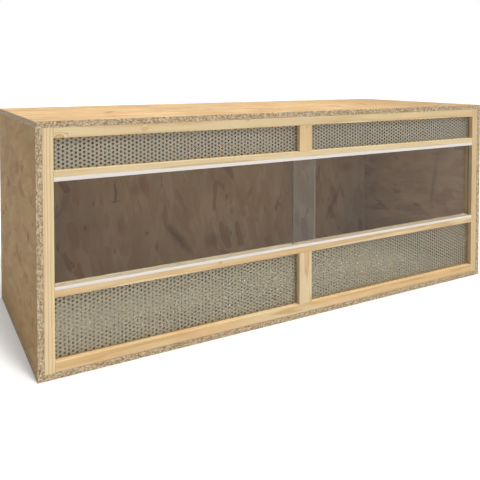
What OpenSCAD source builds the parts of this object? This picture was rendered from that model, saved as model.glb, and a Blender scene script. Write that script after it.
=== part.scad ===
// Reptile terrarium: a cabinet of strand boards with a framed front, two glass
// panes that slide past each other and four perforated ventilation grilles.
// Origin: centre of the underside. +X to the right, +Y to the back, +Z up.

/* [Cabinet] */
// Width over the boards
cabinet_w = 1500; // [900:10:2000]
// Depth over the boards
cabinet_d = 600; // [400:10:800]
// Height over the boards
cabinet_h = 600; // [520:10:900]
// Thickness of the strand boards
board_t = 15; // [12:1:18]

/* [Front frame] */
// Face width of the stiles, rails and transoms
slat_w = 25; // [24:1:40]
// Depth of the frame from front to back
slat_d = 30; // [28:1:45]
// Face width of the two centre posts
post_w = 44; // [42:1:80]
// Radius on the long edges of the slats
slat_edge_r = 1.5; // [0.5:0.5:3]
// Clear height of the lower ventilation window
lower_window_h = 150; // [60:5:200]
// Clear height of the upper ventilation window
upper_window_h = 75; // [40:5:120]

/* [Ventilation grilles] */
// Thickness of the perforated sheet
sheet_t = 1; // [0.8:0.1:2]
// Distance from the frame's front to the sheet
sheet_inset = 15; // [12:1:17]
// Depth of the saw kerf that the sheet stands in
kerf_depth = 6; // [4:0.5:7]
// Diameter of the holes
hole_d = 6; // [4:0.5:7]
// Distance between holes up a column, and from column to column
hole_pitch = 10; // [9:0.5:16]
// Least strip of plain metal between the holes and the sheet's edge
hole_border = 1; // [0.5:0.5:5]

/* [Sliding glass] */
// Thickness of a pane
glass_t = 4; // [3:0.5:5]
// Width by which the two closed panes overlap
pane_overlap = 73; // [30:1:120]
// Ground chamfer on the edges of a pane
pane_arris = 0.5; // [0.2:0.1:1]
// Height of a pane's top edge above the mouth of the upper track
pane_top_bite = 2.5; // [1.5:0.5:4]
// Front and back wall of the tracks
track_wall = 3; // [2:0.5:4]
// Width of a groove in the tracks
track_groove_w = 6; // [5.5:0.1:7]
// Wall between the two grooves
track_divider = 4; // [2.5:0.5:5]
// Height of the lower track
lower_track_h = 8; // [7:0.5:9]
// Depth of the lower track's grooves
lower_groove_depth = 5.5; // [4:0.5:6.5]
// Height of the upper track, tall enough for a pane to be lifted out
upper_track_h = 10; // [9.5:0.5:10.5]
// Depth of the upper track's grooves
upper_groove_depth = 8.5; // [8:0.5:9]
// Radius on the long edges of the tracks
track_edge_r = 0.8; // [0.2:0.2:1]

/* [Screws and dowels] */
// Shank diameter of the countersunk screws
screw_d = 4; // [3:0.5:5]
// Length of the screws
screw_l = 35; // [28:1:38]
// Head diameter of the screws
screw_head_d = 8; // [7:0.5:9]
// Height of the cone under a screw's head
screw_head_h = 3; // [2:0.5:4]
// Length of the point of a screw
screw_point_l = 5; // [3:0.5:8]
// Depth of a head below the face of the board
screw_sink = 0.5; // [0.3:0.1:1]
// Width across the flats of the driver socket
socket_af = 3; // [2:0.5:4]
// Depth of the driver socket
socket_depth = 2; // [1:0.5:3]
// Screws along each rail and along the back panel
screws_across = 4; // [2:1:8]
// Screws along each side panel's edge
screws_deep = 3; // [2:1:6]
// Screws up each stile and up the back panel's edge
screws_up = 3; // [2:1:6]
// Distance from a corner of the cabinet to the first screw across
screw_end_x = 150; // [60:5:250]
// Distance from a corner of the cabinet to the first screw in depth or height
screw_end_yz = 100; // [60:5:150]
// Diameter of the frame's dowels
dowel_d = 6; // [5:0.5:6]
// Length of the dowels
dowel_l = 30; // [24:1:36]
// Chamfer on the ends of a dowel
dowel_chamfer = 0.8; // [0.4:0.2:1.2]
// Depth to which a post's dowel stands in its rail
post_dowel_bite = 12; // [8:1:12]
// Distance between the two dowels at the end of a post
post_dowel_gap = 20; // [16:1:20]

/* [Clearances] */
// Gap on each face of a sheet in its kerf
kerf_play = 0.2; // [0.1:0.05:0.4]
// Gap between a sheet's edge and the bottom of its kerf
sheet_edge_gap = 0.3; // [0.1:0.1:1]
// Gap under a pane in the lower track
pane_rest_gap = 0.3; // [0.1:0.1:1]
// Gap between a closed pane and its stile
pane_end_gap = 0.5; // [0.3:0.1:2]
// Gap around a screw or a dowel in its hole
pin_play = 0.1; // [0.05:0.05:0.2]
// Gap past the end of a screw or a dowel
pin_end_gap = 0.5; // [0.2:0.1:1]

/* [Hidden] */

board_color = "#d9b07c";
slat_color = "#ecd5a8";
dowel_color = "#dcc08e";
metal_color = "#a9a79c";
screw_color = "#c9c7bd";
track_color = "#eeeeea";
glass_color = [0.62, 0.68, 0.66, 0.35];

arc_fn = 32;
pin_fn = 32;
hole_fn = 24;
cut = 1;                      // how far a cutter reaches past the face that it opens

// Places across the front
front_y = -cabinet_d / 2;
frame_w = cabinet_w - 2 * board_t;
opening_w = frame_w - 2 * slat_w;
window_w = (opening_w - post_w) / 2;
window_x = (opening_w + post_w) / 4;

// Levels of the frame, from the floor up
bottom_rail_z = board_t;
lower_window_z = bottom_rail_z + slat_w;
lower_transom_z = lower_window_z + lower_window_h;
glass_opening_z = lower_transom_z + slat_w;
top_rail_z = cabinet_h - board_t - slat_w;
upper_window_z = top_rail_z - upper_window_h;
upper_transom_z = upper_window_z - slat_w;
stile_h = cabinet_h - 2 * board_t;

// The sheets and their kerfs
kerf_w = sheet_t + 2 * kerf_play;
kerf_y = sheet_inset - kerf_play;
sheet_bite = kerf_depth - sheet_edge_gap;

// The tracks and the panes in them
track_d = 2 * track_wall + 2 * track_groove_w + track_divider;
front_groove_y = track_wall;
rear_groove_y = front_groove_y + track_groove_w + track_divider;
pane_side_play = (track_groove_w - glass_t) / 2;
pane_w = (opening_w + pane_overlap) / 2 - pane_end_gap;
pane_z = glass_opening_z - lower_groove_depth + pane_rest_gap;
pane_h = upper_transom_z + pane_top_bite - pane_z;
pane_x = opening_w / 2 - pane_end_gap - pane_w / 2;

// Heights of the dowels above the underside of each rail: halfway up the wood that
// the kerf and the track's rebate leave
dowel_y = slat_d / 2;
bottom_rail_dowel_z = bottom_rail_z + (slat_w - kerf_depth) / 2;
lower_transom_dowel_z = lower_transom_z + (kerf_depth + slat_w - lower_track_h) / 2;
upper_transom_dowel_z = upper_transom_z + (upper_track_h + slat_w - kerf_depth) / 2;
top_rail_dowel_z = top_rail_z + (kerf_depth + slat_w) / 2;
rail_dowel_levels = [bottom_rail_dowel_z, lower_transom_dowel_z, upper_transom_dowel_z, top_rail_dowel_z];

// Places of the screws: those in the frame stand behind the kerf
frame_screw_y = front_y + (kerf_y + kerf_w + slat_d) / 2;
back_screw_y = (cabinet_d - board_t) / 2;
side_screw_x = (cabinet_w - board_t) / 2;
screw_xs = spread(screws_across, cabinet_w - 2 * screw_end_x);
screw_ys = spread(screws_deep, cabinet_d - 2 * screw_end_yz);
screw_zs = [for (z = spread(screws_up, cabinet_h - 2 * screw_end_yz)) z + cabinet_h / 2];
cover_screws = concat(
  [for (x = [-side_screw_x, side_screw_x], y = screw_ys) [x, y]],
  [for (x = screw_xs, y = [frame_screw_y, back_screw_y]) [x, y]]
);
side_screws = [for (y = [frame_screw_y, back_screw_y], z = screw_zs) [y, z]];

// n places spread evenly over a length, centred on zero
function spread(n, length) = [for (i = [0 : n - 1]) length * (i / (n - 1) - 0.5)];

// ---------- outlines ----------

// Rectangle with round corners, its low corner at the origin
module round_rect(w, h, r) {
  translate([r, 0]) square([w - 2 * r, h]);
  translate([0, r]) square([w, h - 2 * r]);
  for (x = [r, w - r], y = [r, h - r]) translate([x, y]) circle(r = r, $fn = arc_fn);
}

// Rectangle with bevelled corners, centred on x, its low side at y = 0
module bevel_rect(w, h, c) {
  polygon([
    [-w / 2 + c, 0], [w / 2 - c, 0], [w / 2, c], [w / 2, h - c],
    [w / 2 - c, h], [-w / 2 + c, h], [-w / 2, h - c], [-w / 2, c],
  ]);
}

// Extrudes an outline drawn in depth and height along the width, centred on x = 0
module along_x(length) {
  translate([-length / 2, front_y, 0]) rotate([90, 0, 90]) linear_extrude(length) children();
}

// Cross section of a slat, with depth along x and height along y
module slat_section() {
  round_rect(slat_d, slat_w, slat_edge_r);
}

module kerf_below() {
  translate([kerf_y, -cut]) square([kerf_w, kerf_depth + cut]);
}

module kerf_above() {
  translate([kerf_y, slat_w - kerf_depth]) square([kerf_w, kerf_depth + cut]);
}

module rebate_below() {
  translate([-cut, -cut]) square([track_d + cut, upper_track_h + cut]);
}

module rebate_above() {
  translate([-cut, slat_w - lower_track_h]) square([track_d + cut, lower_track_h + cut]);
}

// Section of a track of height h whose two grooves open upwards
module track_section(h, groove_depth) {
  difference() {
    round_rect(track_d, h, track_edge_r);
    for (y = [front_groove_y, rear_groove_y])
      translate([y, h - groove_depth]) square([track_groove_w, groove_depth + cut]);
  }
}

// ---------- screws and dowels ----------

// Screw that points down, the rim of its head at z = 0. With play it is the hole for one.
module screw_shape(play = 0) {
  r = screw_d / 2 + play;
  head_r = screw_head_d / 2 + play;
  tip = screw_l + (play > 0 ? pin_end_gap : 0);
  rotate_extrude($fn = pin_fn)
    polygon([
      [0, 0], [head_r, 0], [r, -screw_head_h], [r, -screw_l + screw_point_l], [0, -tip],
    ]);
}

module screw() {
  difference() {
    screw_shape();
    translate([0, 0, -socket_depth])
      cylinder(d = socket_af / cos(30), h = socket_depth + cut, $fn = 6);
  }
}

module screw_hole() {
  screw_shape(pin_play);
  cylinder(r = screw_head_d / 2 + pin_play, h = screw_sink + cut, $fn = pin_fn);
}

// Each of these places its child at every screw of one board
module at_top_screws() {
  for (p = cover_screws) translate([p.x, p.y, cabinet_h - screw_sink]) children();
}

module at_bottom_screws() {
  for (p = cover_screws) translate([p.x, p.y, screw_sink]) rotate([180, 0, 0]) children();
}

module at_left_screws() {
  for (p = side_screws)
    translate([-cabinet_w / 2 + screw_sink, p.x, p.y]) rotate([0, -90, 0]) children();
}

module at_right_screws() {
  mirror([1, 0, 0]) at_left_screws() children();
}

// Dowel standing on z = 0. With play it is the hole for one.
module dowel_shape(play = 0) {
  end = play > 0 ? pin_end_gap : 0;
  c = play > 0 ? 0 : dowel_chamfer;
  r = dowel_d / 2 + play;
  rotate_extrude($fn = pin_fn)
    polygon([
      [0, -end], [r - c, -end], [r, c - end],
      [r, dowel_l + end - c], [r - c, dowel_l + end], [0, dowel_l + end],
    ]);
}

// Dowels that join the four rails to one stile
module left_rail_dowels(play = 0) {
  for (z = rail_dowel_levels)
    translate([-opening_w / 2 - dowel_l / 2, front_y + dowel_y, z]) rotate([0, 90, 0]) dowel_shape(play);
}

module rail_dowel_set(play = 0) {
  left_rail_dowels(play);
  mirror([1, 0, 0]) left_rail_dowels(play);
}

// Dowels at both ends of a post that fills a window
module post_dowel_set(window_z, window_h, play = 0) {
  for (x = [-post_dowel_gap / 2, post_dowel_gap / 2],
       z = [window_z - post_dowel_bite, window_z + window_h + post_dowel_bite - dowel_l])
    translate([x, front_y + dowel_y, z]) dowel_shape(play);
}

module lower_post_dowels(play = 0) {
  post_dowel_set(lower_window_z, lower_window_h, play);
}

module upper_post_dowels(play = 0) {
  post_dowel_set(upper_window_z, upper_window_h, play);
}

// ---------- boards ----------

module board(size, corner) {
  translate(corner) cube(size);
}

module top_panel() {
  color(board_color) difference() {
    board([cabinet_w, cabinet_d, board_t], [-cabinet_w / 2, front_y, cabinet_h - board_t]);
    at_top_screws() screw_hole();
  }
}

module bottom_panel() {
  color(board_color) difference() {
    board([cabinet_w, cabinet_d, board_t], [-cabinet_w / 2, front_y, 0]);
    at_bottom_screws() screw_hole();
  }
}

// The side panel stands between the top and the bottom, its front edge flush with the frame
module left_side_shape() {
  difference() {
    board([board_t, cabinet_d, stile_h], [-cabinet_w / 2, front_y, board_t]);
    at_left_screws() screw_hole();
    at_top_screws() screw_hole();
    at_bottom_screws() screw_hole();
  }
}

module left_side_panel() {
  color(board_color) left_side_shape();
}

module right_side_panel() {
  color(board_color) mirror([1, 0, 0]) left_side_shape();
}

module back_panel() {
  color(board_color) difference() {
    board([frame_w, board_t, stile_h], [-frame_w / 2, cabinet_d / 2 - board_t, board_t]);
    at_left_screws() screw_hole();
    at_right_screws() screw_hole();
    at_top_screws() screw_hole();
    at_bottom_screws() screw_hole();
  }
}

// ---------- front frame ----------

// Stopped kerf in a stile, beside one window
module stile_kerf(window_z, window_h) {
  translate([-opening_w / 2 - kerf_depth, front_y + kerf_y, window_z - kerf_depth])
    cube([kerf_depth + cut, kerf_w, window_h + 2 * kerf_depth]);
}

module stile_shape() {
  difference() {
    translate([-frame_w / 2, front_y, board_t])
      linear_extrude(stile_h) round_rect(slat_w, slat_d, slat_edge_r);
    stile_kerf(lower_window_z, lower_window_h);
    stile_kerf(upper_window_z, upper_window_h);
    left_rail_dowels(pin_play);
    at_left_screws() screw_hole();
  }
}

module left_stile() {
  color(slat_color) stile_shape();
}

module right_stile() {
  color(slat_color) mirror([1, 0, 0]) stile_shape();
}

module top_rail() {
  color(slat_color) difference() {
    translate([0, 0, top_rail_z]) along_x(opening_w) difference() {
      slat_section();
      kerf_below();
    }
    rail_dowel_set(pin_play);
    upper_post_dowels(pin_play);
    at_top_screws() screw_hole();
  }
}

module bottom_rail() {
  color(slat_color) difference() {
    translate([0, 0, bottom_rail_z]) along_x(opening_w) difference() {
      slat_section();
      kerf_above();
    }
    rail_dowel_set(pin_play);
    lower_post_dowels(pin_play);
    at_bottom_screws() screw_hole();
  }
}

// The transoms carry a grille on one side and a track, let in flush, on the other
module upper_transom() {
  color(slat_color) difference() {
    translate([0, 0, upper_transom_z]) along_x(opening_w) difference() {
      slat_section();
      kerf_above();
      rebate_below();
    }
    rail_dowel_set(pin_play);
    upper_post_dowels(pin_play);
  }
}

module lower_transom() {
  color(slat_color) difference() {
    translate([0, 0, lower_transom_z]) along_x(opening_w) difference() {
      slat_section();
      kerf_below();
      rebate_above();
    }
    rail_dowel_set(pin_play);
    lower_post_dowels(pin_play);
  }
}

// Section of a centre post, with a kerf in each side for the grilles beside it
module post_section() {
  difference() {
    translate([-post_w / 2, 0]) round_rect(post_w, slat_d, slat_edge_r);
    for (x = [-post_w / 2 - cut, post_w / 2 - kerf_depth])
      translate([x, kerf_y]) square([kerf_depth + cut, kerf_w]);
  }
}

module upper_post() {
  color(slat_color) difference() {
    translate([0, front_y, upper_window_z]) linear_extrude(upper_window_h) post_section();
    upper_post_dowels(pin_play);
  }
}

module lower_post() {
  color(slat_color) difference() {
    translate([0, front_y, lower_window_z]) linear_extrude(lower_window_h) post_section();
    lower_post_dowels(pin_play);
  }
}

// ---------- ventilation grilles ----------

// Holes of a sheet of w by h, centred: every second column stands half a pitch higher.
// The number of steps across is even, so both ends of the sheet look the same.
module staggered_holes(w, h) {
  steps_x = 2 * floor((w - 2 * hole_border - hole_d) / hole_pitch / 2);
  steps_y = floor((h - 2 * hole_border - hole_d) / hole_pitch);
  for (i = [0 : steps_x]) {
    steps = steps_y - i % 2;
    for (j = [0 : steps])
      translate([(i - steps_x / 2) * hole_pitch, (j - steps / 2) * hole_pitch])
        circle(d = hole_d, $fn = hole_fn);
  }
}

// Perforated sheet that stands in the kerfs around a window
module grille(x, window_z, window_h) {
  w = window_w + 2 * sheet_bite;
  h = window_h + 2 * sheet_bite;
  translate([x, front_y + sheet_inset + sheet_t, window_z + window_h / 2])
    rotate([90, 0, 0]) linear_extrude(sheet_t) difference() {
      square([w, h], center = true);
      staggered_holes(w, h);
    }
}

module upper_left_grille() {
  color(metal_color) grille(-window_x, upper_window_z, upper_window_h);
}

module upper_right_grille() {
  color(metal_color) grille(window_x, upper_window_z, upper_window_h);
}

module lower_left_grille() {
  color(metal_color) grille(-window_x, lower_window_z, lower_window_h);
}

module lower_right_grille() {
  color(metal_color) grille(window_x, lower_window_z, lower_window_h);
}

// ---------- sliding glass ----------

module upper_track() {
  color(track_color) translate([0, 0, upper_transom_z + upper_track_h]) along_x(opening_w)
    mirror([0, 1]) track_section(upper_track_h, upper_groove_depth);
}

module lower_track() {
  color(track_color) translate([0, 0, glass_opening_z - lower_track_h]) along_x(opening_w)
    track_section(lower_track_h, lower_groove_depth);
}

// Pane centred on x, in the groove that starts at groove_y, with ground edges all round
module pane(x, groove_y) {
  translate([x, front_y + groove_y + pane_side_play, pane_z]) intersection() {
    linear_extrude(pane_h) bevel_rect(pane_w, glass_t, pane_arris);
    translate([0, glass_t, 0]) rotate([90, 0, 0]) linear_extrude(glass_t)
      bevel_rect(pane_w, pane_h, pane_arris);
  }
}

module left_glass_pane() {
  color(glass_color) pane(-pane_x, front_groove_y);
}

module right_glass_pane() {
  color(glass_color) pane(pane_x, rear_groove_y);
}

// ---------- fixings ----------

module top_panel_screws() {
  color(screw_color) at_top_screws() screw();
}

module bottom_panel_screws() {
  color(screw_color) at_bottom_screws() screw();
}

module left_side_screws() {
  color(screw_color) at_left_screws() screw();
}

module right_side_screws() {
  color(screw_color) at_right_screws() screw();
}

module rail_dowels() {
  color(dowel_color) rail_dowel_set();
}

module post_dowels() {
  color(dowel_color) lower_post_dowels();
  color(dowel_color) upper_post_dowels();
}

top_panel();
bottom_panel();
left_side_panel();
right_side_panel();
back_panel();
left_stile();
right_stile();
top_rail();
bottom_rail();
upper_transom();
lower_transom();
upper_post();
lower_post();
upper_left_grille();
upper_right_grille();
lower_left_grille();
lower_right_grille();
upper_track();
lower_track();
left_glass_pane();
right_glass_pane();
top_panel_screws();
bottom_panel_screws();
left_side_screws();
right_side_screws();
rail_dowels();
post_dowels();
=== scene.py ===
# %% [markdown]
# # A wooden reptile terrarium
# The cabinet is made of strand boards, the front frame of planed pine slats. Perforated
# sheets stand in the frame above and below two glass panes, which slide in white plastic
# tracks. The packed model brings every piece at its real size. This lesson leaves all
# shapes as they are and gives them what a model can't hold: wood, metal, plastic and
# glass, the light of a photo studio, and the camera.

# %% Load the model
import math

import bpy
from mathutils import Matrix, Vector


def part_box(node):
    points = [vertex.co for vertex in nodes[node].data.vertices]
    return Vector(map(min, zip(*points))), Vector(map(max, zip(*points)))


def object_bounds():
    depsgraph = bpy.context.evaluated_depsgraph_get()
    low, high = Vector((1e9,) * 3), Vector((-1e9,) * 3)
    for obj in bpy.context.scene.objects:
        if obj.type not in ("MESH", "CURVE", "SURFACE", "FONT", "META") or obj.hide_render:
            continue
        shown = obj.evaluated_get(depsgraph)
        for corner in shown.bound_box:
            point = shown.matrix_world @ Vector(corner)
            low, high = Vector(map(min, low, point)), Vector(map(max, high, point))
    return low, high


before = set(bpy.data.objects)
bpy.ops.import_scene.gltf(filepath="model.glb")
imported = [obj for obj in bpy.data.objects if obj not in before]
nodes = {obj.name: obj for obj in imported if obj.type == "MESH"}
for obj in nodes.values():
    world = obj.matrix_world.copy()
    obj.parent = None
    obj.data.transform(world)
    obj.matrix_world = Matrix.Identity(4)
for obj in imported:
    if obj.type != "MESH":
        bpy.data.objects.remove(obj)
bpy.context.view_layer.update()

# %% [markdown]
# ## Measures
# Faces, middles and ends come from the boxes of the packed pieces, so that a finish stays on
# its piece. Single marks and knots were picked in the picture and carried onto their faces
# with the fitted camera. They stand below in metres from the bottom middle of the cabinet.
# The front is the plane of lowest Y, and Z is up.

# %% Measures
X, Y, Z = 0, 1, 2

low_corner, high_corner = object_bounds()
LEFT_X = low_corner.x
FRONT_Y = low_corner.y
TOP_Z = high_corner.z
print("left", round(LEFT_X, 3), "front", round(FRONT_Y, 3), "top", round(TOP_Z, 3))

# %% [markdown]
# ## The camera
# The picture shows the cabinet from the left, a little above its top, with upright edges
# that stay upright. A camera that looks straight ahead and shifts its frame downwards does
# that. Here most of it is shift and the rest a tilt of less than two degrees, so that the
# object stays in the frame, but for a sliver at its top, when the camera goes round it. The
# lens comes from fitting the straight edges of the cabinet.

# %% Camera
LENS_MM = 44.099
FILM_MM = 36.0
CAMERA_PLACE = (-0.9971, -1.6836, 0.7074)
CAMERA_TURN = 29.638         # degrees from straight ahead, to the right
CAMERA_TILT = 1.653          # degrees downwards
FRAME_SHIFT = (-0.0064, -0.31)

camera_data = bpy.data.cameras.new("camera")
camera_data.lens = LENS_MM
camera_data.sensor_width = FILM_MM
camera_data.shift_x, camera_data.shift_y = FRAME_SHIFT
camera = bpy.data.objects.new("camera", camera_data)
camera.location = CAMERA_PLACE
camera.rotation_euler = (math.radians(90 - CAMERA_TILT), 0, math.radians(-CAMERA_TURN))
scene = bpy.context.scene
scene.collection.objects.link(camera)
scene.camera = camera
scene.view_settings.view_transform = "Standard"
print("lens", LENS_MM, "mm, shift", FRAME_SHIFT)

# %% [markdown]
# ## Colours
# Colours are written as they look on the screen, 0 to 255, and turned into the linear
# numbers that a shader takes.

# %% Colours


def srgb(red, green, blue):
    """A colour as it looks on the screen, in a shader's linear numbers."""
    def linear(c):
        c /= 255
        return c / 12.92 if c <= 0.04045 else ((c + 0.055) / 1.055) ** 2.4
    return (linear(red), linear(green), linear(blue), 1.0)


print("a middle grey of 128 is", round(srgb(128, 128, 128)[0], 3), "in linear numbers")

# %% [markdown]
# ## Short calls for nodes
# Wood and metal are drawn by node trees, and a tree is long when every link is a line of
# its own. This small class keeps the tree of one material and has a short call for each
# kind of node that the finishes need. A noise runs from 0 to 1 but keeps near its middle, so
# the ranges below say which part of it a finish uses.

# %% Nodes
NOISE_WIDE = (0.25, 0.75)
NOISE_MOST = (0.3, 0.7)
NOISE_CORE = (0.35, 0.65)


class Finish:
    """The node tree of one material, with a Principled shader at its end."""

    def __init__(self, name):
        self.material = bpy.data.materials.new(name)
        self.material.use_nodes = True
        self.tree = self.material.node_tree
        self.tree.nodes.clear()
        self.output = self.add("ShaderNodeOutputMaterial")
        self.shader = self.add("ShaderNodeBsdfPrincipled")
        self.tree.links.new(self.shader.outputs[0], self.output.inputs["Surface"])
        self.coordinates = self.add("ShaderNodeTexCoord")
        self.place = self.coordinates.outputs["Object"]

    def feed(self, socket, value):
        """Links value to the socket if it is an output, and else sets it."""
        if isinstance(value, bpy.types.NodeSocket):
            self.tree.links.new(value, socket)
        else:
            socket.default_value = value

    def add(self, kind, inputs=None, **settings):
        """A new node. settings are its properties and inputs its sockets."""
        node = self.tree.nodes.new(kind)
        for key, value in settings.items():
            setattr(node, key, value)
        for key, value in (inputs or {}).items():
            self.feed(node.inputs[key], value)
        return node

    def surface(self, values, shader=None):
        """Sets or links sockets of a shader, the material's own if none is given."""
        for name, value in values.items():
            self.feed((shader or self.shader).inputs[name], value)

    def math(self, operation, a, b=0.0):
        return self.add("ShaderNodeMath", {0: a, 1: b}, operation=operation).outputs[0]

    def equal(self, value, target, within):
        """1 where value is target, give or take within, and 0 elsewhere."""
        return self.add("ShaderNodeMath", {0: value, 1: target, 2: within}, operation="COMPARE").outputs[0]

    def vector(self, operation, a, b=(0, 0, 0)):
        return self.add("ShaderNodeVectorMath", {0: a, 1: b}, operation=operation).outputs[0]

    def length(self, vector):
        return self.add("ShaderNodeVectorMath", {0: vector}, operation="LENGTH").outputs["Value"]

    def turn(self, vector, angle):
        """The vector turned about Z, by radians."""
        inputs = {"Vector": vector, "Angle": angle}
        return self.add("ShaderNodeVectorRotate", inputs, rotation_type="Z_AXIS").outputs[0]

    def stretched(self, axis, along, across):
        """The place, multiplied by along on one axis and by across on the other two."""
        scales = [across] * 3
        scales[axis] = along
        return self.vector("MULTIPLY", self.place, tuple(scales))

    def facing(self, axis):
        """How far the surface faces along an axis, from -1 to 1."""
        return self.parts(self.coordinates.outputs["Normal"])[axis]

    def parts(self, vector):
        """The three numbers of a vector or colour."""
        return self.add("ShaderNodeSeparateXYZ", {0: vector}).outputs

    def join(self, x, y, z):
        return self.add("ShaderNodeCombineXYZ", {0: x, 1: y, 2: z}).outputs[0]

    def spread(self, value, low, high, to_low=0.0, to_high=1.0):
        """value between low and high, stretched smoothly to the other range and held there."""
        inputs = {"Value": value, "From Min": low, "From Max": high, "To Min": to_low, "To Max": to_high}
        return self.add("ShaderNodeMapRange", inputs, interpolation_type="SMOOTHSTEP").outputs[0]

    def noise(self, vector, scale=1.0, detail=2.0, roughness=0.5, distortion=0.0):
        inputs = {"Vector": vector, "Scale": scale, "Detail": detail, "Roughness": roughness,
                  "Distortion": distortion}
        return self.add("ShaderNodeTexNoise", inputs).outputs[0]

    def ramp(self, value, stops):
        """A colour that runs through stops, each a place from 0 to 1 and a colour."""
        node = self.add("ShaderNodeValToRGB", {0: value})
        points = node.color_ramp.elements
        while len(points) < len(stops):
            points.new(0.5)
        for point, (place, colour) in zip(points, stops):
            point.position = place
            point.color = colour
        return node.outputs[0]

    def mix(self, share, a, b, blend="MIX"):
        """A colour between a and b."""
        # The node has sockets for every kind of value: 6, 7 and output 2 are those for colours.
        node = self.add("ShaderNodeMix", {0: share, 6: a, 7: b}, data_type="RGBA", blend_type=blend)
        return node.outputs[2]

    def mix_numbers(self, share, a, b):
        """A number between a and b."""
        return self.add("ShaderNodeMix", {0: share, 2: a, 3: b}).outputs[0]

    def shade(self, colour, value):
        """The colour made lighter or darker by a number."""
        return self.mix(1.0, colour, self.join(value, value, value), "MULTIPLY")

    def tint(self, colour, tone, share=1.0):
        """The colour multiplied by red, green and blue."""
        return self.mix(share, colour, (*tone, 1), "MULTIPLY")

    def bump(self, height, distance):
        """Raises the surface by height times distance, in metres."""
        node = self.add("ShaderNodeBump", {"Height": height, "Distance": distance, "Strength": 1.0})
        self.feed(self.shader.inputs["Normal"], node.outputs[0])


print("a finish has", sum(not name.startswith("_") for name in vars(Finish)), "short calls")

# %% Putting a finish on pieces


def dress(finish, *names):
    """Gives a finish to packed pieces."""
    for name in names:
        slots = nodes[name].data.materials
        slots.clear()
        slots.append(finish.material)
    print(finish.material.name, "on", ", ".join(names))


# %% [markdown]
# ## Strand board
# A strand board is pressed from flakes of wood, about 10 cm long and 3 cm wide, which lie
# mostly along one direction and overlap. Two things make it read as such a board: each
# flake has a tone and a fibre direction of its own, and it ends at straight edges over its
# neighbours. A Voronoi pattern stretched to the size of a flake gives cells with random
# numbers. Several such layers, each turned by another angle and each showing only some of
# its cells, make flakes that lie on one another. The Chebychev measure gives the cells
# long straight sides.
#
# The sawn edges of a board show the ends of the flakes instead: short dashes of light
# wood with dark gaps between them, flat along the board. They take the place of the
# flakes wherever the surface doesn't face the board's own normal.

# %% One layer of flakes
FLAKE_LENGTH = 0.095
FLAKE_WIDTH = 0.030
FLAKE_DISORDER = 0.9          # 0 lays the flakes in rows, 1 wholly at random
FLAKE_LEAN = 0.5              # radians between the two outermost directions of fibres
FIBRE_SCALE = (7.0, 300.0, 0.0)  # waves in each metre, along and across the fibres
LAYER_SHIFT = (0.37, 0.71)    # how far one step of the seed moves a layer


def flake_layer(f, face_place, angle, seed):
    """Three random numbers for each flake, its fibres, and how far a point is from its edge."""
    moved = f.vector("ADD", f.turn(face_place, angle), (seed * LAYER_SHIFT[0], seed * LAYER_SHIFT[1], 0))
    cell_place = f.vector("MULTIPLY", moved, (1 / FLAKE_LENGTH, 1 / FLAKE_WIDTH, 0))
    nearest, second = (
        f.add("ShaderNodeTexVoronoi", {"Vector": cell_place, "Scale": 1.0, "Randomness": FLAKE_DISORDER},
              voronoi_dimensions="2D", feature=feature, distance="CHEBYCHEV")
        for feature in ("F1", "F2")
    )
    rim = f.math("SUBTRACT", second.outputs["Distance"], nearest.outputs["Distance"])
    random = f.parts(nearest.outputs["Color"])
    lean = f.math("MULTIPLY", f.math("SUBTRACT", random[1], 0.5), FLAKE_LEAN)
    strands = f.vector("MULTIPLY", f.turn(moved, lean), FIBRE_SCALE)
    fibres = f.noise(f.vector("ADD", strands, nearest.outputs["Color"]), detail=3.0, roughness=0.6)
    return random, fibres, rim


print("flakes of", FLAKE_LENGTH, "by", FLAKE_WIDTH, "m")

# %% All layers of flakes
FLAKE_TONES = [
    (0.00, srgb(184, 138, 94)),
    (0.05, srgb(194, 152, 106)),
    (0.12, srgb(201, 165, 117)),
    (0.60, srgb(207, 174, 126)),
    (1.00, srgb(213, 183, 137)),
]
# Each layer: its turn in radians and the share of its flakes that is left out.
FLAKE_LAYERS = [(0.05, 0.0), (-0.30, 0.35), (0.42, 0.45), (-0.12, 0.5), (0.20, 0.6)]
LAYER_SEED_STEP = 3.1
FLAKE_FIBRE_SHADE = (0.91, 1.07)
RIM_SHADE = 0.95
RIM_WIDTH = 0.08              # of the dark rim, in flakes
LAP_WIDTH = 0.14              # over which a flake thins out to the one below


def all_flakes(f, face_place, seed):
    """The colour and the height of flakes that lie on one another."""
    colour, height = None, None
    for number, (angle, left_out) in enumerate(FLAKE_LAYERS):
        random, fibres, rim = flake_layer(f, face_place, angle, seed + LAYER_SEED_STEP * number)
        flake = f.shade(f.ramp(random[0], FLAKE_TONES), f.spread(fibres, *NOISE_WIDE, *FLAKE_FIBRE_SHADE))
        flake = f.shade(flake, f.spread(rim, 0.0, RIM_WIDTH, RIM_SHADE, 1.0))
        if colour is None:
            colour, height = flake, random[1]
        else:
            shown = f.math("GREATER_THAN", random[2], left_out)
            shown = f.math("MULTIPLY", shown, f.spread(rim, 0.0, LAP_WIDTH))
            colour = f.mix(shown, colour, flake)
            height = f.mix_numbers(shown, height, random[1])
    return colour, height


print("layers of flakes:", len(FLAKE_LAYERS))

# %% Streaks and spots
RED_WOOD = srgb(182, 126, 84)
BARK = srgb(126, 88, 58)
STREAK_TURN = 0.22            # radians from the flakes
STREAK_SCALE = (8.0, 42.0, 0)  # waves in each metre, along and across the grain
STREAK_RANGE = (0.54, 0.76)   # the noise at which a streak begins, and at which it is full
STREAK_SHARE = 0.36
SPOT_SCALE = (11.0, 27.0, 0)  # cells in each metre, along and across the grain
SPOT_FREE_SHARE = 0.84        # of the cells, the share that has no spot
SPOT_CORE = 0.02              # in cells, as the two radii below
SPOT_RADIUS = 0.05
SPOT_RADIUS_MORE = 0.20
SPOT_SHARE = 0.5


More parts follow.
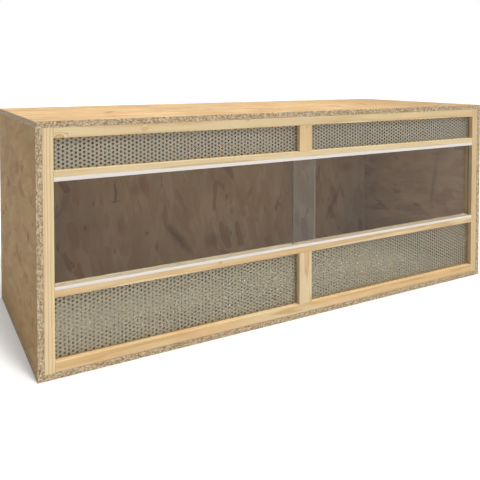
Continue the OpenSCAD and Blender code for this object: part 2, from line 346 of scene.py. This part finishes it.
def streaks_and_spots(f, colour, face_place, seed):
    """Lays reddish streaks and small spots of bark on the colour."""
    streak_place = f.vector("MULTIPLY", f.turn(face_place, STREAK_TURN), STREAK_SCALE)
    streaks = f.noise(f.vector("ADD", streak_place, (seed, 0, seed)), detail=3.0, distortion=0.6)
    colour = f.mix(f.spread(streaks, *STREAK_RANGE, 0.0, STREAK_SHARE), colour, RED_WOOD)

    spot_place = f.vector("ADD", f.vector("MULTIPLY", face_place, SPOT_SCALE), (0, seed, 0))
    spots = f.add("ShaderNodeTexVoronoi", {"Vector": spot_place, "Scale": 1.0}, voronoi_dimensions="2D")
    random = f.parts(spots.outputs["Color"])
    rare = f.math("GREATER_THAN", random[0], SPOT_FREE_SHARE)
    radius = f.math("ADD", f.math("MULTIPLY", random[1], SPOT_RADIUS_MORE), SPOT_RADIUS)
    near = f.spread(spots.outputs["Distance"], SPOT_CORE, radius, SPOT_SHARE, 0.0)
    return f.mix(f.math("MULTIPLY", rare, near), colour, BARK)


print("cells with a spot:", round(100 * (1 - SPOT_FREE_SHARE)), "in a hundred")

# %% Single marks
MARK_WAVES = 45.0             # of a mark's outline, in each metre
MARK_WAVE_SIZE = 0.018        # metres
MARK_FADE = (0.3, 1.15)       # where a mark begins to fade and where it ends, in its own radii
PLANE_PLAY = 0.004            # metres by which a face may miss the plane of its marks


def draw_marks(f, colour, along, across, depth, marks):
    """Lays single dark flakes, bark and a patch of painted shade on the colour.

    A mark is the plane it lies on, its place along and across the grain, half its length and
    width, its turn in degrees, its colour and its strength.
    """
    plain = f.join(along, across, 0.0)
    waves = f.add("ShaderNodeTexNoise", {"Vector": plain, "Scale": MARK_WAVES, "Detail": 3.0})
    centred = f.vector("SUBTRACT", waves.outputs["Color"], (0.5, 0.5, 0.5))
    wavered = f.vector("ADD", plain, f.vector("MULTIPLY", centred, (MARK_WAVE_SIZE, MARK_WAVE_SIZE, 0.0)))
    for plane, place, size, degrees, tone, strength in marks.values():
        offset = f.vector("SUBTRACT", wavered, (*place, 0.0))
        turned = f.turn(offset, math.radians(-degrees))
        reach = f.length(f.vector("MULTIPLY", turned, (1 / size[0], 1 / size[1], 0.0)))
        share = f.spread(reach, *MARK_FADE, strength, 0.0)
        on_plane = f.equal(depth, plane, PLANE_PLAY)
        colour = f.mix(f.math("MULTIPLY", share, on_plane), colour, tone)
    return colour


print("a mark's outline wavers by up to", MARK_WAVE_SIZE / 2, "m each way")

# %% The whole board
DUST = srgb(194, 188, 168)
EDGE_TONES = [
    (0.30, srgb(106, 87, 64)),
    (0.43, srgb(165, 141, 109)),
    (0.55, srgb(202, 180, 147)),
    (0.68, srgb(230, 214, 187)),
]
EDGE_CRUMBS = {"along": 1 / 0.0030, "across": 1 / 0.0048}     # through the board, and along its edge
FACE_SHIFT = 7.3              # metres that the pattern moves on for each metre of depth
BLOTCH_SCALE = 4.0
BLOTCH_SHADE = (0.90, 1.08)
FACES = 0.5                   # from here on a surface counts as facing an axis


def strand_board(name, normal_axis, grain_axis, seed, tint, marks=None, dust=0.0):
    """A board whose faces look along one axis and whose flakes lie along another.

    dust is the share of fine wood dust that hides the flakes of its upper face.
    """
    f = Finish(name)
    across_axis = X + Y + Z - normal_axis - grain_axis     # the one that is left
    here = f.parts(f.place)
    along, across, depth = here[grain_axis], here[across_axis], here[normal_axis]
    # Each face of a board gets flakes of its own: the pattern moves on with the depth.
    face_place = f.join(f.math("ADD", along, f.math("MULTIPLY", depth, FACE_SHIFT)), across, 0.0)

    colour, height = all_flakes(f, face_place, seed)
    colour = streaks_and_spots(f, colour, face_place, seed)
    if marks:
        colour = draw_marks(f, colour, along, across, depth, marks)
    blotches = f.noise(f.place, BLOTCH_SCALE, detail=3.0)
    colour = f.shade(colour, f.spread(blotches, *NOISE_MOST, *BLOTCH_SHADE))
    colour = f.tint(colour, tint)
    if dust:
        upward = f.math("GREATER_THAN", f.facing(Z), FACES)
        colour = f.mix(f.math("MULTIPLY", upward, dust), colour, DUST)

    crumbs = f.noise(f.stretched(normal_axis, **EDGE_CRUMBS), detail=3.0, roughness=0.65)
    on_edge = f.math("LESS_THAN", f.math("ABSOLUTE", f.facing(normal_axis)), FACES)
    f.surface({
        "Base Color": f.mix(on_edge, colour, f.ramp(crumbs, EDGE_TONES)),
        "Roughness": 0.65,
        "Specular IOR Level": 0.12,
    })
    f.bump(f.mix_numbers(on_edge, height, crumbs), 0.0005)
    return f


print("the flakes move on by", FACE_SHIFT, "mm for each mm of depth")

# %% [markdown]
# ## The marks of these boards
# A random pattern gives a board, but not this board. The eye remembers a few dark flakes
# and spots of bark, so the plainest of them are laid one by one on the faces where the
# picture shows them: the top, the left side, and the two inner faces behind the panes. Each
# has a name and a place on its face, rounded to half a centimetre, and a little noise keeps
# its outline from looking drawn. One wide soft mark low on the right panel's inner face is
# painted shade.
#
# The top is the palest board. Fine wood dust lies on the cabin floor and makes it greyer
# and plainer than the rest. It shines through the holes of the lower sheets.

# %% Marks
INSIDE_RIGHT_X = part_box("right_side_panel")[0].x
INSIDE_BACK_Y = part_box("back_panel")[0].y
DARK = srgb(140, 100, 66)
RUST = srgb(172, 112, 76)

# Each mark: plane, place along and across the grain, half length and width, turn, colour, strength.
top_marks = {
    "slanting_stroke": (TOP_Z, (-0.505, -0.050), (0.075, 0.015), 65, DARK, 0.45),
    "line_at_the_back": (TOP_Z, (-0.065, 0.245), (0.040, 0.012), 0, DARK, 0.60),
    "orange_flake": (TOP_Z, (-0.345, -0.025), (0.040, 0.015), -20, RUST, 0.45),
    "long_slanting_line": (TOP_Z, (0.425, -0.055), (0.095, 0.012), 65, DARK, 0.40),
    "streak_at_the_front": (TOP_Z, (0.455, -0.265), (0.050, 0.010), 5, DARK, 0.45),
    "browner_right_end": (TOP_Z, (0.620, 0.000), (0.300, 0.400), 0, DARK, 0.40),
}
side_marks = {
    "rusty_flake_at_the_top": (LEFT_X, (0.055, 0.560), (0.022, 0.012), 0, RUST, 0.60),
    "thin_dark_line": (LEFT_X, (0.040, 0.495), (0.008, 0.013), 0, BARK, 0.75),
    "rusty_patch": (LEFT_X, (-0.035, 0.460), (0.035, 0.020), -10, RUST, 0.62),
    "patch_left_leg": (LEFT_X, (0.020, 0.425), (0.012, 0.016), 0, RUST, 0.50),
    "patch_right_leg": (LEFT_X, (-0.090, 0.435), (0.012, 0.015), 0, RUST, 0.50),
    "leaning_bark": (LEFT_X, (-0.195, 0.315), (0.016, 0.022), 35, BARK, 0.50),
    "rusty_flake_at_the_back": (LEFT_X, (0.175, 0.310), (0.024, 0.012), 0, RUST, 0.45),
    "dark_spot": (LEFT_X, (0.010, 0.215), (0.010, 0.008), 0, BARK, 0.60),
    "low_rusty_flake": (LEFT_X, (-0.030, 0.130), (0.020, 0.016), 0, RUST, 0.50),
    "low_dark_spot": (LEFT_X, (-0.070, 0.110), (0.014, 0.008), 30, BARK, 0.75),
    "rusty_front_streak": (LEFT_X, (-0.240, 0.120), (0.015, 0.022), 40, RUST, 0.55),
    "inside_upright_line": (INSIDE_RIGHT_X, (-0.105, 0.300), (0.012, 0.115), 10, BARK, 0.45),
    "inside_slanting_line": (INSIDE_RIGHT_X, (0.180, 0.160), (0.075, 0.012), 25, BARK, 0.45),
    "inside_arc": (INSIDE_RIGHT_X, (-0.015, 0.195), (0.030, 0.007), 5, BARK, 0.70),
    # Painted shade, low on the right panel's inner face.
    "inside_low_painted_shade": (INSIDE_RIGHT_X, (-0.100, 0.060), (0.300, 0.090), 0, BARK, 0.75),
}
back_marks = {
    "long_strand": (INSIDE_BACK_Y, (0.105, -0.145), (0.110, 0.020), -40, BARK, 0.60),
    "core_of_the_strand": (INSIDE_BACK_Y, (0.105, -0.150), (0.080, 0.006), -40, BARK, 0.50),
    "upright_line": (INSIDE_BACK_Y, (0.305, -0.385), (0.040, 0.006), 0, BARK, 0.80),
    "foot_of_the_line": (INSIDE_BACK_Y, (0.270, -0.385), (0.005, 0.020), 0, BARK, 0.55),
    "soft_streak": (INSIDE_BACK_Y, (0.285, -0.555), (0.065, 0.016), 15, BARK, 0.35),
    "small_knot": (INSIDE_BACK_Y, (0.240, 0.050), (0.014, 0.006), 20, BARK, 0.75),
    "dark_spot": (INSIDE_BACK_Y, (0.145, -0.270), (0.009, 0.008), 0, BARK, 0.65),
    "rusty_flake": (INSIDE_BACK_Y, (0.185, -0.365), (0.045, 0.022), 0, RUST, 0.45),
    "rusty_patch": (INSIDE_BACK_Y, (0.305, -0.300), (0.024, 0.040), 0, RUST, 0.40),
    "dark_patch": (INSIDE_BACK_Y, (0.085, -0.015), (0.032, 0.034), 0, BARK, 0.35),
    "long_right_streak": (INSIDE_BACK_Y, (0.160, 0.560), (0.105, 0.016), 30, BARK, 0.42),
    "rusty_right_patch": (INSIDE_BACK_Y, (0.310, 0.635), (0.026, 0.045), 0, RUST, 0.45),
}
print("marks:", len(top_marks), "on top,", len(side_marks), "on the sides,", len(back_marks), "on the back")

# %% The boards
# The darker tints of the back board and the cabin floor are painted shade for the inside of the cabinet.
top_board = strand_board("board_top", Z, X, seed=2.0, tint=(0.95, 0.94, 0.93), marks=top_marks)
bottom_board = strand_board("board_bottom", Z, X, seed=31.0, tint=(0.84, 0.84, 0.84), dust=0.6)
side_board = strand_board("board_side", X, Y, seed=11.0, tint=(0.83, 0.79, 0.70), marks=side_marks)
back_board = strand_board("board_back", Y, Z, seed=23.0, tint=(0.78, 0.76, 0.78), marks=back_marks)
dress(top_board, "top_panel")
dress(bottom_board, "bottom_panel")
dress(side_board, "left_side_panel", "right_side_panel")
dress(back_board, "back_panel")

# %% [markdown]
# ## Planed pine
# A slat is cut from a log, and its lines are the year rings of that log. So the pattern is
# made as the log makes it: the distance from an imagined pith, wavered a little along the
# slat, is cut into rings, pale in spring wood and darker in summer wood. Seen on a flat
# face this gives the straight lines and the long arches of real slats, and the lines run
# on round the edges. Each slat gets its own pith and tint. A knot is a small dark ring
# around which the lines bend. The top of the lower transom is painted darker, as painted
# shade, which shows as a thin line behind the track.

# %% Knots
KNOT_TONES = [
    (0.0, srgb(206, 160, 112)),
    (0.5, srgb(220, 180, 130)),
    (0.8, srgb(186, 136, 92)),
    (1.0, srgb(218, 182, 132)),
]
KNOT_STRETCH = 1.4            # a knot's length along the slat, in its widths
KNOT_BEND = (0.6, 2.2)        # between which of its radii the lines bend round a knot
KNOT_PUSH = 0.7               # how far they bend, in radii
KNOT_EDGE = (0.85, 1.15)


def lay_knots(f, axis, radius, knots):
    """Bends the rings round the knots. Gives the rings, the knots' share and the place in a knot."""
    share, inside = None, None
    for centre, size, strength in knots:
        stretch = [1 / size] * 3
        stretch[axis] = 1 / (KNOT_STRETCH * size)
        reach = f.length(f.vector("MULTIPLY", f.vector("SUBTRACT", f.place, centre), tuple(stretch)))
        radius = f.math("ADD", radius, f.spread(reach, *KNOT_BEND, KNOT_PUSH * size, 0.0))
        here = f.spread(reach, *KNOT_EDGE, strength, 0.0)
        share = here if share is None else f.math("MAXIMUM", share, here)
        inside = reach if inside is None else f.math("MINIMUM", inside, reach)
    return radius, share, inside


print("a knot is", KNOT_STRETCH, "times as long as it is wide")

# %% Pine
PINE_TONES = [
    (0.00, srgb(234, 212, 170)),
    (0.55, srgb(230, 206, 162)),
    (0.86, srgb(217, 187, 140)),
    (0.93, srgb(210, 176, 127)),
    (1.00, srgb(234, 212, 170)),
]
HEART_WOOD = srgb(222, 178, 124)
RING_WAVER = {"along": 1 / 0.45, "across": 1 / 0.03}
RING_WAVER_SIZE = 2.2         # year rings
HEART_PATCHES = {"along": 3.0, "across": 20.0}
HEART_RANGE = (0.40, 0.62)    # the noise at which heartwood begins, and at which it is full
PINE_FIBRES = {"along": 1 / 0.05, "across": 1 / 0.0008}
PINE_FIBRE_SHADE = (0.96, 1.03)
PINE_CLOUD_SCALE = 9.0
PINE_CLOUD_SHADE = (0.97, 1.02)
SHADED_TOP_FACING = (0.4, 0.9)     # how far a face looks up where the painted shade begins, and where it is full
TOP_PAINTED_SHADE = 0.55


def pine(name, axis, pith, ring, heart, tint, knots=(), painted_shade_on_top=False):
    """Pine that grows along an axis.

    pith is the log's centre in metres, ring the width of a year ring and heart the share of
    orange heartwood.
    """
    f = Finish(name)
    from_pith = f.parts(f.vector("SUBTRACT", f.place, pith))
    sideways = [from_pith[other] for other in (X, Y, Z) if other != axis]
    waver = f.math("MULTIPLY", f.noise(f.stretched(axis, **RING_WAVER)), RING_WAVER_SIZE * ring)
    radius = f.math("ADD", f.length(f.join(*sideways, 0.0)), waver)
    radius, knot_share, inside_knot = lay_knots(f, axis, radius, knots)

    year = f.math("FRACT", f.math("DIVIDE", radius, ring))
    colour = f.ramp(year, PINE_TONES)
    if heart:
        patches = f.noise(f.stretched(axis, **HEART_PATCHES))
        colour = f.mix(f.spread(patches, *HEART_RANGE, 0.0, heart), colour, HEART_WOOD)
    fibres = f.noise(f.stretched(axis, **PINE_FIBRES))
    clouds = f.noise(f.place, PINE_CLOUD_SCALE)
    colour = f.shade(colour, f.spread(fibres, *NOISE_MOST, *PINE_FIBRE_SHADE))
    colour = f.shade(colour, f.spread(clouds, *NOISE_CORE, *PINE_CLOUD_SHADE))
    if knots:
        colour = f.mix(knot_share, colour, f.ramp(inside_knot, KNOT_TONES))
    # Painted shade: faces that look up are darkened.
    if painted_shade_on_top:
        colour = f.shade(colour, f.spread(f.facing(Z), *SHADED_TOP_FACING, 1.0, TOP_PAINTED_SHADE))
    f.surface({"Base Color": f.tint(colour, tint), "Roughness": 0.55, "Specular IOR Level": 0.15})
    f.bump(f.math("ADD", fibres, year), 0.00006)
    return f


print("tones across a year ring:", len(PINE_TONES))

# %% Where a slat's log was


def long_axis(node):
    """The axis that a slat grows along."""
    low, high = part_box(node)
    return Z if high.z - low.z > high.x - low.x else X


def pith_of(node, sideways, behind):
    """A pith beside a slat: metres across the face that is seen, and metres behind it."""
    low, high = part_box(node)
    middle = (low + high) / 2
    if long_axis(node) == Z:
        return (middle.x + sideways, middle.y + behind, 0.0)
    return (0.0, middle.y + behind, middle.z + sideways)


print("the left stile grows along", "XYZ"[long_axis("left_stile")])

# %% The slats, each from its own log
# Each knot: its place, its size in metres and its strength.
slat_knots = {
    "top_rail": [((-0.697, FRONT_Y, 0.562), 0.008, 0.7), ((-0.680, FRONT_Y, 0.570), 0.002, 0.8),
                 ((-0.490, FRONT_Y, 0.574), 0.0045, 0.6), ((-0.194, FRONT_Y, 0.584), 0.003, 1.0)],
    "lower_transom": [((-0.279, FRONT_Y, 0.205), 0.0035, 1.0)],
    "upper_post": [((0.003, FRONT_Y, 0.554), 0.003, 0.8)],
}
# Each slat: its pith, sideways and behind, its ring width, its share of heartwood and its tint.
slats = {
    "left_stile": ((0.052, 0.022), 0.0062, 0.0, (1.05, 1.05, 1.04)),
    "right_stile": ((-0.050, 0.025), 0.0070, 0.3, (0.93, 0.92, 0.92)),
    "top_rail": ((0.002, 0.034), 0.0052, 0.15, (1.00, 1.00, 0.99)),
    "bottom_rail": ((0.010, 0.036), 0.0058, 0.60, (1.00, 0.98, 0.95)),
    "upper_transom": ((-0.018, 0.055), 0.0090, 0.1, (1.00, 1.02, 1.03)),
    "lower_transom": ((0.012, 0.070), 0.0110, 0.25, (1.04, 1.03, 1.04)),
    "upper_post": ((-0.012, 0.070), 0.0095, 0.4, (1.00, 0.99, 0.97)),
    "lower_post": ((0.008, 0.080), 0.0120, 0.2, (0.98, 0.98, 1.00)),
}
for piece, (pith, ring, heart, tint) in slats.items():
    finish = pine("pine_" + piece, long_axis(piece), pith_of(piece, *pith), ring, heart, tint,
                  knots=slat_knots.get(piece, ()), painted_shade_on_top=piece == "lower_transom")
    dress(finish, piece)

# %% [markdown]
# ## Perforated sheet
# The holes are real holes in the model, so the material only has to be zinc-coated steel:
# a dull, slightly warm grey with faint cloudy crystals. It is mostly metal, and rough
# enough to show no sharp reflections. The lower sheets are a little darker and warmer.

# %% Perforated sheet
ZINC_TONES = [(0.25, srgb(143, 138, 124)), (0.75, srgb(163, 158, 143))]
ZINC_ROUGHNESS = (0.42, 0.55)
CRYSTAL_SCALE = 160.0
CLOUD_SCALE = 14.0
CRYSTAL_SHARE = 0.4           # the clouds make up the rest


def zinc_sheet(name, tint):
    """Zinc-coated steel in cloudy crystals."""
    f = Finish(name)
    crystals = f.add("ShaderNodeTexVoronoi", {"Vector": f.place, "Scale": CRYSTAL_SCALE}, feature="SMOOTH_F1")
    cloud = f.noise(f.place, CLOUD_SCALE, detail=4.0)
    spangle = f.math("MULTIPLY", crystals.outputs["Distance"], CRYSTAL_SHARE)
    clouding = f.math("ADD", f.math("MULTIPLY", cloud, 1 - CRYSTAL_SHARE), spangle)
    f.surface({
        "Base Color": f.tint(f.ramp(clouding, ZINC_TONES), tint),
        "Roughness": f.spread(cloud, *NOISE_MOST, *ZINC_ROUGHNESS),
        "Metallic": 0.7,
    })
    f.bump(cloud, 0.0002)
    return f


dress(zinc_sheet("zinc_upper", tint=(1.0, 1.0, 1.0)), "upper_left_grille", "upper_right_grille")
dress(zinc_sheet("zinc_lower", tint=(0.94, 0.93, 0.87)), "lower_left_grille", "lower_right_grille")

# %% [markdown]
# ## Plastic tracks
# The tracks are extruded white plastic. Extruding leaves faint lines along the length, so
# a noise stretched along X gives both a slight change of tone and a very low relief. The
# upper faces and the grooves are painted duller and warmer than the fronts, as painted
# shade.

# %% Tracks
PLASTIC_TONES = [(0.3, srgb(235, 227, 220)), (0.7, srgb(242, 234, 228))]
DRAWN_LINES = {"along": 3.0, "across": 250.0}
FRONT_WALL = 0.003            # metres from the front of a track to its first groove
GROOVE_FADE = 0.002           # metres behind it over which the painted shade gets full
# The tone of the painted shade on the upper faces and in the grooves.
PAINTED_SHADE_PLASTIC = (0.60, 0.53, 0.40)

plastic = Finish("white_plastic")
drawn = plastic.noise(plastic.stretched(X, **DRAWN_LINES), detail=1.0)
# Painted shade: the upper faces and the grooves are made duller and warmer than the fronts.
groove_y = FRONT_Y + FRONT_WALL
in_grooves = plastic.spread(plastic.parts(plastic.place)[Y], groove_y, groove_y + GROOVE_FADE)
painted_shade_share = plastic.math("MAXIMUM", plastic.spread(plastic.facing(Z), 0.0, 1.0), in_grooves)
plastic_tone = plastic.tint(plastic.ramp(drawn, PLASTIC_TONES), PAINTED_SHADE_PLASTIC, share=painted_shade_share)
plastic.surface({"Base Color": plastic_tone, "Roughness": 0.32})
plastic.bump(drawn, 0.00002)
dress(plastic, "upper_track", "lower_track")

# %% [markdown]
# ## Glass
# A pane is clear on its two large faces and matt and greenish on its ground edges. The
# faces are told from the edges by their normal. Light from the lamps has to get through
# into the cabinet: real glass does that, but a path tracer finds such light only by
# chance, so for shadow rays the pane is a clear transparent film. Where the panes overlap,
# the left end of the rear pane is seen from outside and looks dark. The right end of the
# front pane, seen through its own glass, is painted pale and given a faint glow: a painted
# highlight in place of the light that the glass leads to it.

# %% Clear faces
glass = Finish("clear_glass")
glass.surface({
    "Base Color": (0.95, 0.965, 0.96, 1),
    "Roughness": 0.0,
    "IOR": 1.31,
    "Transmission Weight": 1.0,
})
print("clear glass, index of refraction", round(glass.shader.inputs["IOR"].default_value, 2))

# %% Ground edges
DARK_EDGE = [(0.3, srgb(46, 52, 50)), (0.7, srgb(66, 74, 71))]
# The pale tones of the painted highlight at the front pane's right end.
PAINTED_GLOW_TONES = [(0.3, srgb(150, 152, 144)), (0.7, srgb(176, 178, 168))]
FROST_SCALE = 900.0
PAINTED_GLOW = 0.16
END_PLAY = 0.002              # metres from the end of the front pane that still get the painted glow
FACE_ON = 0.9                 # a large face looks along Y by more than this

front_pane_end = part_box("left_glass_pane")[1].x
frost = glass.noise(glass.place, FROST_SCALE)
# Painted highlight: the right end of the front pane gets a pale colour and a faint glow.
painted_glow_edge = glass.ramp(frost, PAINTED_GLOW_TONES)
at_end = glass.equal(glass.parts(glass.place)[X], front_pane_end, END_PLAY)
at_edge = glass.math("LESS_THAN", glass.math("ABSOLUTE", glass.facing(Y)), FACE_ON)
ground = glass.add("ShaderNodeBsdfPrincipled")
glass.surface({
    "Base Color": glass.mix(at_end, glass.ramp(frost, DARK_EDGE), painted_glow_edge),
    "Roughness": 0.45,
    "Emission Color": painted_glow_edge,
    "Emission Strength": glass.math("MULTIPLY", at_end, PAINTED_GLOW),
}, shader=ground)
print("the front pane ends at", round(front_pane_end, 4))

# %% Light through the panes
FILM_TONE = (0.72, 0.73, 0.72, 1)

pane = glass.add("ShaderNodeMixShader", {0: at_edge, 1: glass.shader.outputs[0], 2: ground.outputs[0]})
film = glass.add("ShaderNodeBsdfTransparent", {"Color": FILM_TONE})
shadow = glass.add("ShaderNodeLightPath").outputs["Is Shadow Ray"]
through = glass.add("ShaderNodeMixShader", {0: shadow, 1: pane.outputs[0], 2: film.outputs[0]})
glass.feed(glass.output.inputs["Surface"], through.outputs[0])
dress(glass, "left_glass_pane", "right_glass_pane")

# %% [markdown]
# ## Screws and dowels
# The screws are zinc-plated steel with a slight yellow cast and fine turning marks. The
# dowels are beech. They are hidden in the closed frame, but an exploded view shows them.

# %% Screws and dowels
PLATED_TONES = [(0.3, srgb(176, 170, 152)), (0.7, srgb(208, 204, 190))]
BEECH_TONES = [(0.3, srgb(190, 152, 108)), (0.7, srgb(220, 188, 146))]
TURNING_SCALE = 1500.0
PORE_SCALE = 900.0

plated = Finish("plated_steel")
turning = plated.noise(plated.place, TURNING_SCALE, detail=3.0)
plated.surface({"Base Color": plated.ramp(turning, PLATED_TONES), "Metallic": 1.0, "Roughness": 0.35})
plated.bump(turning, 0.00003)
dress(plated, "top_panel_screws", "bottom_panel_screws", "left_side_screws", "right_side_screws")

beech = Finish("beech_dowel")
pores = beech.noise(beech.place, PORE_SCALE, detail=3.0)
beech.surface({"Base Color": beech.ramp(pores, BEECH_TONES), "Roughness": 0.6})
beech.bump(pores, 0.00005)
dress(beech, "rail_dowels", "post_dowels")

# %% [markdown]
# ## Floor and light
# The picture has a plain white ground. A floor that bounced light like white paper would
# make the shaded left side far too bright, so the floor is a middle grey for the light
# and paler for whoever looks at it: the camera, a reflection and a pane. It still shows
# the cabinet's soft shadow. The world does the same.
#
# Two wide suns light every view alike. The stronger one stands overhead: the top is the
# brightest face, and the left side gets only what the floor and the sky return. The
# weaker one comes from the front at half height. It lights the front frame, and it reaches
# through the panes to the cabin floor, which shines through the holes of the lower sheets.

# %% What looks at a surface
LOOKING_RAYS = ("Is Glossy Ray", "Is Transmission Ray")       # besides those of the camera


def looked_at(tree):
    """1 where the camera, a reflection or a pane looks, and 0 for the light's own paths."""
    path = tree.nodes.new("ShaderNodeLightPath")
    last = path.outputs["Is Camera Ray"]
    for ray in LOOKING_RAYS:
        either = tree.nodes.new("ShaderNodeMath")
        either.operation = "MAXIMUM"
        tree.links.new(last, either.inputs[0])
        tree.links.new(path.outputs[ray], either.inputs[1])
        last = either.outputs[0]
    return last


print("rays that look, besides the camera's:", len(LOOKING_RAYS))

# %% Floor
FLOOR_HALF = 40.0
FLOOR_DROP = 0.0005           # metres below the cabinet, so that no two faces share a plane
FLOOR_BOUNCE = [(0.0, srgb(188, 188, 188)), (1.0, srgb(191, 191, 191))]
FLOOR_SEEN = srgb(246, 246, 246)
PAPER_SCALE = 3.0

floor_mesh = bpy.data.meshes.new("floor")
quarters = ((-1, -1), (1, -1), (1, 1), (-1, 1))
corners = [(x * FLOOR_HALF, y * FLOOR_HALF, -FLOOR_DROP) for x, y in quarters]
floor_mesh.from_pydata(corners, [], [(0, 1, 2, 3)])
floor = bpy.data.objects.new("floor", floor_mesh)
scene.collection.objects.link(floor)
paper = Finish("floor_paper")
bounce = paper.ramp(paper.noise(paper.place, PAPER_SCALE), FLOOR_BOUNCE)
paper.surface({
    "Base Color": paper.mix(looked_at(paper.tree), bounce, FLOOR_SEEN),
    "Roughness": 0.9,
    "Specular IOR Level": 0.0,
})
floor_mesh.materials.append(paper.material)
print("floor", 2 * FLOOR_HALF, "m wide")

# %% World
WORLD_LIGHT = 0.14
WORLD_SEEN = 1.0

world = bpy.data.worlds.new("studio")
scene.world = world
world.use_nodes = True
tree = world.node_tree
tree.nodes.clear()
seen, lit = (tree.nodes.new("ShaderNodeBackground") for _ in range(2))
for background, strength in ((seen, WORLD_SEEN), (lit, WORLD_LIGHT)):
    background.inputs["Color"].default_value = (1, 1, 1, 1)
    background.inputs["Strength"].default_value = strength
both = tree.nodes.new("ShaderNodeMixShader")
ends = tree.nodes.new("ShaderNodeOutputWorld")
tree.links.new(looked_at(tree), both.inputs[0])
tree.links.new(lit.outputs[0], both.inputs[1])
tree.links.new(seen.outputs[0], both.inputs[2])
tree.links.new(both.outputs[0], ends.inputs["Surface"])
print("world", WORLD_LIGHT, "as light,", WORLD_SEEN, "as it is seen")

# %% Suns
# Each sun: the direction to it, its strength and its width in degrees.
SUNS = {
    "overhead": ((0.04, -0.03, 1.0), 2.3, 40.0),
    "from_front": ((0.16, -0.64, 0.76), 2.1, 14.0),
}
for name, (direction, strength, width) in SUNS.items():
    sun_data = bpy.data.lights.new(name, "SUN")
    sun_data.energy = strength
    sun_data.angle = math.radians(width)
    sun = bpy.data.objects.new(name, sun_data)
    sun.rotation_euler = Vector(direction).to_track_quat("Z", "Y").to_euler()
    scene.collection.objects.link(sun)
    print("sun", name, strength)

# %% [markdown]
